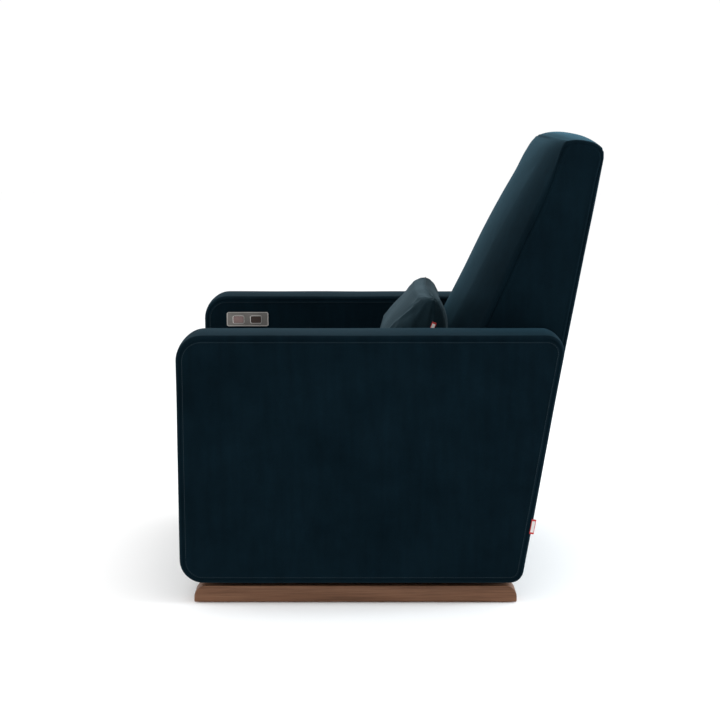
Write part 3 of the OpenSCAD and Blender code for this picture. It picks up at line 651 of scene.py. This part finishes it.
def spread_out(points, count):
    """A smooth curve through points given in mm, as count evenly spaced points in metres."""
    points = np.array(points, float)
    reach = np.r_[0, np.cumsum(np.linalg.norm(np.diff(points, axis=0), axis=1))]
    slope = np.gradient(points, reach, axis=0)
    fine = np.linspace(0, reach[-1], count)
    k = np.clip(np.searchsorted(reach, fine, side="right") - 1, 0, len(reach) - 2)
    span = (reach[k + 1] - reach[k])[:, None]
    t = ((fine - reach[k])[:, None]) / span
    curve = ((2 * t ** 3 - 3 * t ** 2 + 1) * points[k] + (t ** 3 - 2 * t ** 2 + t) * span * slope[k]
             + (3 * t ** 2 - 2 * t ** 3) * points[k + 1] + (t ** 3 - t ** 2) * span * slope[k + 1])
    return curve * MM + np.array([back_high[1], back_high[2]])


def back_outline(x):
    """The back's side view at a distance x from the middle plane."""
    share = min(1.0, abs(x) / back_half)
    front = (spread_out(MIDDLE_FRONT, FRONT_POINTS) * (1 - share ** 3.0)
             + spread_out(SIDE_FRONT, FRONT_POINTS) * share ** 3.0)
    top = (spread_out(MIDDLE_TOP, TOP_POINTS) * (1 - share ** 2.6)
           + spread_out(SIDE_TOP, TOP_POINTS) * share ** 2.6)[1:]
    tangent = np.array([pivot_y + LOBE_R * cos(BACK_LEAN), PIVOT_Z - LOBE_R * sin(BACK_LEAN)])
    rear = [top[-1] + (tangent - top[-1]) * t for t in np.linspace(0, 1, REAR_POINTS)[1:]]
    turn = np.linspace(-BACK_LEAN, -180, 44)[1:]
    lobe = [(pivot_y + LOBE_R * cos(a), PIVOT_Z + LOBE_R * sin(a)) for a in turn]
    rise = [(pivot_y - LOBE_R, z) for z in np.linspace(PIVOT_Z, OVERHANG_Z, 22)[1:]]
    under = [(y, OVERHANG_Z) for y in np.linspace(pivot_y - LOBE_R, front[0][0], 14)[1:-1]]
    return np.vstack([front, top, rear, lobe, rise, under])


def make_back():
    centre = BACK_CENTRE
    stations = [(x, drawn_in(back_outline(x), centre, inset))
                for x, inset in edge_stations(back_half, BACK_EDGE, 72)]
    piece = slab("back_upholstery", stations, centre, teal, crown=1.5 * MM)
    co = points_of(piece)
    below = np.clip((OVERHANG_Z + 0.01 - co[:, 2]) / 0.02, 0, 1)
    co[:, 0] *= 1 - below * (1 - lobe_half / back_half)
    set_points(piece, co)
    inflate(piece, 0.9, 5 * MM, frames=10, pins=back_pins(co), stiffness=30.0)
    ripple(piece, 1.6 * MM, 5.0, 8.0)
    sew(piece, back_seams())
    return seat_on(piece, "back", "velvet", "back_cushion")


def back_pins(co):
    """Holds the seams and everything below the arms' tops; the front panel is left free."""
    share = np.minimum(1, np.abs(co[:, 0]) / back_half)
    front = spread_out(MIDDLE_FRONT, 200)
    ahead = np.interp(co[:, 2], front[:, 1], front[:, 0])
    free = (co[:, 1] - ahead < 12 * MM) & (co[:, 2] > OVERHANG_Z + 0.05) & (share < 0.9)
    return np.where(free, 0.0, 1.0)


def back_seams():
    outlines = [(x, back_outline(x)) for x in np.linspace(-back_half, back_half, 61)]
    front_corner = FRONT_POINTS - 1
    rear_corner = FRONT_POINTS + int(TOP_POINTS * 0.80)
    across_front = [(x, *loop[front_corner]) for x, loop in outlines]
    across_rear = [(x, *loop[rear_corner]) for x, loop in outlines]
    side = drawn_in(back_outline(back_half), BACK_CENTRE, BACK_EDGE + 0.5 * MM)
    side = side[:FRONT_POINTS + TOP_POINTS + REAR_POINTS - 2]
    return [(across_front, False), (across_rear, False)] + [
        ([(x, y, z) for y, z in side], False) for x in (-back_half, back_half)]


make_back()


# ---- seat cushion -----------------------------------------------------------------------------
def seat_outline(inset=0.0):
    """Side view of the cushion with the front border that hangs down before the rails."""
    y0, y1 = seat_low[1], seat_high[1]
    lip = y0 + SEAT_LIP
    floor = seat_high[2] - SEAT_THICK
    corners = [(y0, seat_low[2]), (lip, seat_low[2]), (lip, floor), (y1, floor),
               (y1, seat_high[2]), (y0, seat_high[2])]
    loop = outline(corners, [10 * MM, 3 * MM, 2 * MM, 6 * MM, 14 * MM, 36 * MM],
                   [8, 18, 110, 16, 130, 26])
    return loop + inward(loop) * inset


def make_seat():
    half = seat_high[0]
    stations = [(x, seat_outline(inset)) for x, inset in edge_stations(half, SEAT_EDGE, 60)]
    centre = np.array([(seat_low[1] + seat_high[1]) / 2, seat_high[2] - 36 * MM])
    piece = slab("seat_upholstery", stations, centre, teal, crown=0.5 * MM)
    co = points_of(piece)
    length = seat_high[1] - seat_low[1]
    across = np.clip(1 - (co[:, 0] / half) ** 2, 0, 1) ** 0.6
    along = np.clip(np.sin(math.pi * (co[:, 1] - seat_low[1]) / length), 0, 1) ** 0.5
    up = np.clip((co[:, 2] - seat_high[2] + 30 * MM) / (30 * MM), 0, 1)
    co[:, 2] += SEAT_DOME * across * along * up
    low_front = np.clip((seat_low[1] + 12 * MM - co[:, 1]) / (12 * MM), 0, 1)
    height = np.clip((co[:, 2] - seat_low[2]) / (seat_high[2] - seat_low[2]), 0, 1)
    co[:, 1] -= SEAT_FRONT_BULGE * low_front * across * np.sin(math.pi * height)
    set_points(piece, co)
    edge = np.abs(co[:, 0]) > half - 14 * MM
    hidden = co[:, 2] < seat_high[2] - 25 * MM
    behind = co[:, 1] > pivot_y - LOBE_R - 70 * MM
    inflate(piece, 1.6, 7 * MM, frames=12, pins=(edge | hidden | behind).astype(float))
    ripple(piece, 1.6 * MM, 6.0, 21.0)
    seams = []
    top = seat_outline()
    border = [p for p in top if p[1] > seat_high[2] - 30 * MM and p[0] < seat_low[1] + 20 * MM]
    seam_point = min(border, key=lambda p: abs(p[1] - (seat_high[2] - 12 * MM)))
    crest = [(x, seam_point[0], seam_point[1] + 5 * MM * (1 - (x / half) ** 2))
             for x in np.linspace(-half + SEAT_EDGE, half - SEAT_EDGE, 40)]
    seams.append((crest, False))
    for side in (-1, 1):
        loop = [p for p in seat_outline(6 * MM)
                if p[1] > seat_high[2] - 60 * MM or p[0] < seat_low[1] + 12 * MM]
        seams.append(([(side * (half - 1 * MM), y, z) for y, z in loop], False))
    sew(piece, seams)
    return seat_on(piece, "chassis", "velvet", "seat_cushion")


make_seat()


# ---- footrest ---------------------------------------------------------------------------------
def make_footrest():
    half = pad_high[0]
    low, high = pad_low[1:], pad_high[1:]
    corners = [(low[0], low[1]), (high[0], low[1]), (high[0], high[1]), (low[0], high[1])]
    base = outline(corners, [12 * MM, 7.5 * MM, 7.5 * MM, 12 * MM], [12, 60, 12, 110])
    normal = inward(base)
    stations = [(x, base + normal * inset) for x, inset in edge_stations(half, FOOTREST_EDGE, 60)]
    piece = slab("footrest_upholstery", stations, base.mean(0), teal)
    co = points_of(piece)
    across = np.clip(1 - (co[:, 0] / half) ** 2, 0, 1) ** 0.6
    height = np.clip((co[:, 2] - low[1]) / (high[1] - low[1]), 0, 1)
    front = np.clip((low[0] + 14 * MM - co[:, 1]) / (14 * MM), 0, 1)
    co[:, 1] -= FOOTREST_BULGE * front * across * np.sin(math.pi * height) ** 0.6
    set_points(piece, co)
    held = (co[:, 1] > low[0] + 9 * MM) | (np.abs(co[:, 0]) > half - 12 * MM)
    inflate(piece, 1.4, 6 * MM, frames=10, pins=held.astype(float))
    ripple(piece, 1.2 * MM, 7.0, 34.0)
    y = low[0] + 1 * MM
    frame_line = [(-half + 11 * MM, y, low[1] + 12 * MM), (half - 11 * MM, y, low[1] + 12 * MM),
                  (half - 11 * MM, y, high[1] - 12 * MM), (-half + 11 * MM, y, high[1] - 12 * MM)]
    sew(piece, [(frame_line, True)], depth=1.4 * MM)
    return seat_on(piece, "footrest", "velvet", "footrest_pad")


make_footrest()


# ---- lumbar pillow ----------------------------------------------------------------------------
PILLOW_TALL = 0.204
PILLOW_SEAM = np.array([0.0765, 0.5775])
# Fullness before and behind the seam, from the bottom of the pillow to its top, in mm
PILLOW_UP = [-1.0, -0.93, -0.8, -0.6, -0.35, -0.05, 0.25, 0.5, 0.72, 0.88, 0.96, 1.0]
PILLOW_FRONT = [0, 40, 67, 90, 99, 96, 80, 62, 47, 33, 20, 0]
PILLOW_REAR = [0, 18, 34, 50, 60, 64, 61, 53, 42, 29, 17, 0]


def back_front_at(x, z):
    """Depth of the back's front face at x and z."""
    share = np.minimum(1, np.abs(x) / back_half) ** 3.0
    middle, side = spread_out(MIDDLE_FRONT, 90), spread_out(SIDE_FRONT, 90)
    return (np.interp(z, middle[:, 1], middle[:, 0]) * (1 - share)
            + np.interp(z, side[:, 1], side[:, 0]) * share)


def pillow_grid(wide, columns=104, rows=60):
    """The two panels, joined along the seam round their edge."""
    verts, faces, index = [], [], {}
    for face in (-1, 1):
        fullness = PILLOW_FRONT if face < 0 else PILLOW_REAR
        for i in range(columns + 1):
            for j in range(rows + 1):
                u = math.sin(math.pi / 2 * (2 * i / columns - 1))
                v = math.sin(math.pi / 2 * (2 * j / rows - 1))
                rim = i in (0, columns) or j in (0, rows)
                if rim and face == 1:
                    index[face, i, j] = index[-1, i, j]
                    continue
                ends = (1 - abs(u) ** 5) ** 0.5
                full = float(np.interp(v, PILLOW_UP, fullness)) * MM * ends
                # corners pull out a little, and the sides in between them
                x = u * wide / 2 * (1 - 0.022 * (1 - v * v))
                z = v * PILLOW_TALL / 2 * (1 - 0.08 * abs(u) ** 8)
                index[face, i, j] = len(verts)
                verts.append((x, face * full, z))
        for i in range(columns):
            for j in range(rows):
                quad = [index[face, i, j], index[face, i + 1, j], index[face, i + 1, j + 1],
                        index[face, i, j + 1]]
                faces.append(quad if face < 0 else quad[::-1])
    rim = [index[-1, i, 0] for i in range(columns + 1)]
    rim += [index[-1, columns, j] for j in range(1, rows + 1)]
    rim += [index[-1, i, rows] for i in range(columns - 1, -1, -1)]
    rim += [index[-1, 0, j] for j in range(rows - 1, 0, -1)]
    return verts, faces, rim


def press(value, limit, soft=4 * MM):
    """value held below limit, with a soft shoulder."""
    over = (value - limit) / soft
    return np.where(over > 4, limit, value - soft * np.log1p(np.exp(np.clip(over, -30, 30))))


def make_pillow():
    wide = pillow_high[0] - pillow_low[0]
    verts, faces, rim = pillow_grid(wide)
    piece = new_object("pillow_upholstery", verts, faces, pillow_teal)
    outward(piece)
    inflate(piece, 3.0, 7 * MM, frames=16, stiffness=10.0)
    ripple(piece, 2.2 * MM, 9.0, 50.0)
    co = points_of(piece)
    turned = co.copy()
    turned[:, 1] = PILLOW_SEAM[0] + co[:, 1] * cos(PILLOW_LEAN) + co[:, 2] * sin(PILLOW_LEAN)
    turned[:, 2] = PILLOW_SEAM[1] - co[:, 1] * sin(PILLOW_LEAN) + co[:, 2] * cos(PILLOW_LEAN)
    turned[:, 1] += 8 * MM * (turned[:, 0] / (wide / 2)) ** 2
    limit = back_front_at(turned[:, 0], turned[:, 2]) - PILLOW_GAP
    turned[:, 1] = press(turned[:, 1], limit)
    turned[:, 2] = -press(-turned[:, 2], -(pillow_low[2] - 1 * MM))
    set_points(piece, turned)
    sew(piece, [(turned[rim], True)], depth=-0.8 * MM, pucker=0.9 * MM, pitch=21 * MM)
    return seat_on(piece, "pillow", "pillow_velvet", "pillow")


make_pillow()


# ---- rear panel -------------------------------------------------------------------------------
def make_rear_panel():
    half = lobe_half
    low, high = (np.array(c, float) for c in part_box("rear_panel"))
    lean = (high[2] - low[2]) * tan(ARM_LEAN)
    thick = (high[1] - low[1]) - lean
    # the top edge slopes up to the rear, close under the round foot of the back
    corners = [(low[1], low[2]), (low[1] + thick, low[2]),
               (high[1] + PANEL_REAR_RISE * tan(ARM_LEAN), high[2] + PANEL_REAR_RISE),
               (high[1] - thick, high[2] + PANEL_FRONT_RISE)]
    base = outline(corners, [PANEL_EDGE] * 4, [8, 40, 8, 40])
    normal = inward(base)
    stations = [(x, base + normal * inset) for x, inset in edge_stations(half, PANEL_EDGE, 50)]
    piece = slab("rear_panel_upholstery", stations, base.mean(0), teal)
    ripple(piece, 1.2 * MM, 8.0, 61.0)
    return seat_on(piece, "chassis", "velvet", "rear_panel")


make_rear_panel()


# ---- eased copies of hard parts -----------------------------------------------------------------
def eased(cad_name, name, width, material, body):
    """The CAD part's own shape with its sharp edges broken."""
    mesh = nodes[cad_name].data.copy()
    mesh.name = name
    bm = bmesh.new()
    bm.from_mesh(mesh)
    bmesh.ops.remove_doubles(bm, verts=bm.verts, dist=1e-5)
    bmesh.ops.dissolve_limit(bm, angle_limit=math.radians(1), verts=bm.verts, edges=bm.edges)
    sharp = [e for e in bm.edges if len(e.link_faces) == 2
             and e.calc_face_angle(0) > math.radians(28)]
    bmesh.ops.bevel(bm, geom=sharp, offset=width, offset_type="OFFSET", segments=3,
                    profile=0.5, affect="EDGES", clamp_overlap=True)
    bm.to_mesh(mesh)
    bm.free()
    mesh.materials.clear()
    mesh.materials.append(material)
    mesh.shade_smooth()
    mesh.set_sharp_from_angle(angle=math.radians(32))
    piece = bpy.data.objects.new(name, mesh)
    scene.collection.objects.link(piece)
    even = piece.modifiers.new("even_shading", "WEIGHTED_NORMAL")
    even.keep_sharp = True
    even.weight = 100
    return seat_on(piece, body, slot_of[cad_name], cad_name)


for side in ("left", "right"):
    eased(f"runner_{side}", f"runner_{side}_oiled", 1.4 * MM, walnut, "root")
eased("control_plate", "control_plate_brushed", 0.5 * MM, satin_plate, "chassis")
# The recline cap carries the painted light reflection and the return cap the painted dark
# reflection.
eased("recline_button", "recline_button_cap", 0.7 * MM, button_bright_reflection, "recline_button")
eased("return_button", "return_button_cap", 0.7 * MM, button_dark_reflection, "return_button")


def hoop(name, path, radius, material, flat=0.6, sides=10):
    """A closed bead along a path in the plane x = constant; flat squashes it across that plane."""
    path = np.array(path, float)
    ahead = np.roll(path, -1, 0) - np.roll(path, 1, 0)
    ahead /= np.linalg.norm(ahead, axis=1)[:, None]
    side = np.cross(ahead, [1.0, 0, 0])
    verts, faces = [], []
    for p, s in zip(path, side):
        for k in range(sides):
            angle = 2 * math.pi * k / sides
            verts.append(p + s * radius * math.cos(angle)
                         + np.array([radius * flat * math.sin(angle), 0, 0]))
    count = len(path)
    for i in range(count):
        for k in range(sides):
            n = (k + 1) % sides
            j = (i + 1) % count
            faces.append((i * sides + k, i * sides + n, j * sides + n, j * sides + k))
    piece = new_object(name, verts, faces, material)
    outward(piece)
    return piece


def round_frame(x, low, high, radius, grow):
    corners = [(low[0] - grow, low[1] - grow), (high[0] + grow, low[1] - grow),
               (high[0] + grow, high[1] + grow), (low[0] - grow, high[1] + grow)]
    loop = outline(corners, [radius + grow] * 4, [16, 8, 16, 8], steps=6)
    return [(x, y, z) for y, z in loop]


def make_control_trim():
    """The plate's bright edge and the bright frames round its two buttons."""
    low, high = (np.array(c, float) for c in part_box("control_plate"))
    face = high[0]
    edge = round_frame(face, low[1:], high[1:], 5 * MM, -0.9 * MM)
    seat_on(hoop("control_plate_edge", edge, 0.8 * MM, bright_rim), "chassis", "plate")
    for cad_name in ("recline_button", "return_button"):
        low, high = (np.array(c, float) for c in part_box(cad_name))
        frame_line = round_frame(face, low[1:], high[1:], 4 * MM, 0.3 * MM)
        seat_on(hoop(cad_name + "_frame", frame_line, 0.9 * MM, bright_rim), "chassis", "plate")


make_control_trim()


def make_tag(name, cad_name, body, at, lean, wide, tall):
    """A ribbon folded double, sewn in at one edge, with a plain pale stripe woven down it."""
    verts, faces, pale = [], [], []
    ring, rows = 28, 26
    for j in range(rows + 1):
        v = (j / rows - 0.5) * tall
        for i in range(ring):
            angle = 2 * math.pi * i / ring
            c, s = math.cos(angle), math.sin(angle)
            a = wide / 2 * math.copysign(abs(c) ** 0.45, c)
            b = 0.75 * MM * math.copysign(abs(s) ** 0.6, s)
            b += 0.5 * MM * math.sin(v / tall * 5) * (a / wide + 0.5)
            verts.append((at[0] + b, at[1] + a * cos(lean) + v * sin(lean),
                          at[2] - a * sin(lean) + v * cos(lean)))
    for j in range(rows):
        for i in range(ring):
            n = (i + 1) % ring
            faces.append((j * ring + i, j * ring + n, (j + 1) * ring + n, (j + 1) * ring + i))
            middle = abs(math.cos(2 * math.pi * (i + 0.5) / ring)) ** 0.45 < 0.62
            pale.append(middle and 2 < j < rows - 3)
    faces.append(tuple(range(ring)))
    faces.append(tuple(rows * ring + i for i in reversed(range(ring))))
    piece = new_object(name, verts, faces, red_ribbon)
    piece.data.materials.append(white_ribbon)
    for face, light in zip(piece.data.polygons, pale):
        face.material_index = int(light)
    return seat_on(piece, body, "tag_red", cad_name)


tag_z = 0.184
tag_y = arm_rear_line + (tag_z - arm_low[2]) * tan(ARM_LEAN) + 0.8 * MM
make_tag("arm_ribbon_tag", "arm_tag", "chassis", (arm_high[0] + 0.6 * MM, tag_y, tag_z),
         ARM_LEAN, TAG_WIDE, TAG_TALL)
pillow_tag_at = (pillow_high[0] + 0.5 * MM, 0.0945, 0.602)
make_tag("pillow_ribbon_tag", "pillow_tag", "pillow", pillow_tag_at, 20, TAG_WIDE, TAG_TALL)


# ---- stage, lights and camera -------------------------------------------------------------------
FLOOR_REACH = 14.0
CAMERA_PLACE = (3.589, -0.070, 1.131)
CAMERA_PITCH = 10.08
CAMERA_LENS = 74.75


def make_floor():
    mesh = bpy.data.meshes.new("floor")
    reach = FLOOR_REACH
    mesh.from_pydata([(-reach, -reach, 0), (reach, -reach, 0), (reach, reach, 0),
                      (-reach, reach, 0)], [], [(0, 1, 2, 3)])
    material, tree, shader = new_material("pale_floor")
    clouds = noise_at(tree, coordinates(tree), 3.0)
    tone = ramp(tree, clouds, [(0.3, grey(0.985)), (0.7, grey(0.995))])
    tree.links.new(tone, shader.inputs["Base Color"])
    shader.inputs["Roughness"].default_value = 0.9
    shader.inputs["Specular IOR Level"].default_value = 0.1
    mesh.materials.append(material)
    floor = bpy.data.objects.new("floor", mesh)
    scene.collection.objects.link(floor)


def area_light(name, place, target, size, power, colour=(1, 1, 1)):
    data = bpy.data.lights.new(name, "AREA")
    data.shape = "RECTANGLE"
    data.size, data.size_y = size
    data.energy = power
    data.color = colour
    lamp = bpy.data.objects.new(name, data)
    lamp.location = place
    lamp.rotation_euler = (Vector(target) - Vector(place)).to_track_quat("-Z", "Y").to_euler()
    scene.collection.objects.link(lamp)


make_floor()
world = bpy.data.worlds.new("studio")
world.use_nodes = True
world.node_tree.nodes["Background"].inputs["Color"].default_value = (1, 1, 1, 1)
world.node_tree.nodes["Background"].inputs["Strength"].default_value = 1.02
scene.world = world
area_light("top", (0.2, 0.6, 3.2), (0, 0.1, 0.5), (2.4, 2.4), 10)
area_light("front", (0.1, -3.2, 1.0), (0, 0, 0.8), (2.0, 1.2), 45)
area_light("rear", (0.4, 3.4, 1.1), (0, 0.3, 0.7), (1.6, 1.6), 130, (0.85, 0.94, 1))

camera_data = bpy.data.cameras.new("camera")
camera_data.lens = CAMERA_LENS
camera_data.sensor_width = 36.0
camera = bpy.data.objects.new("camera", camera_data)
camera.location = CAMERA_PLACE
camera.rotation_euler = (math.radians(90 - CAMERA_PITCH), 0, math.radians(90))
scene.collection.objects.link(camera)
scene.camera = camera
scene.view_settings.view_transform = "Standard"
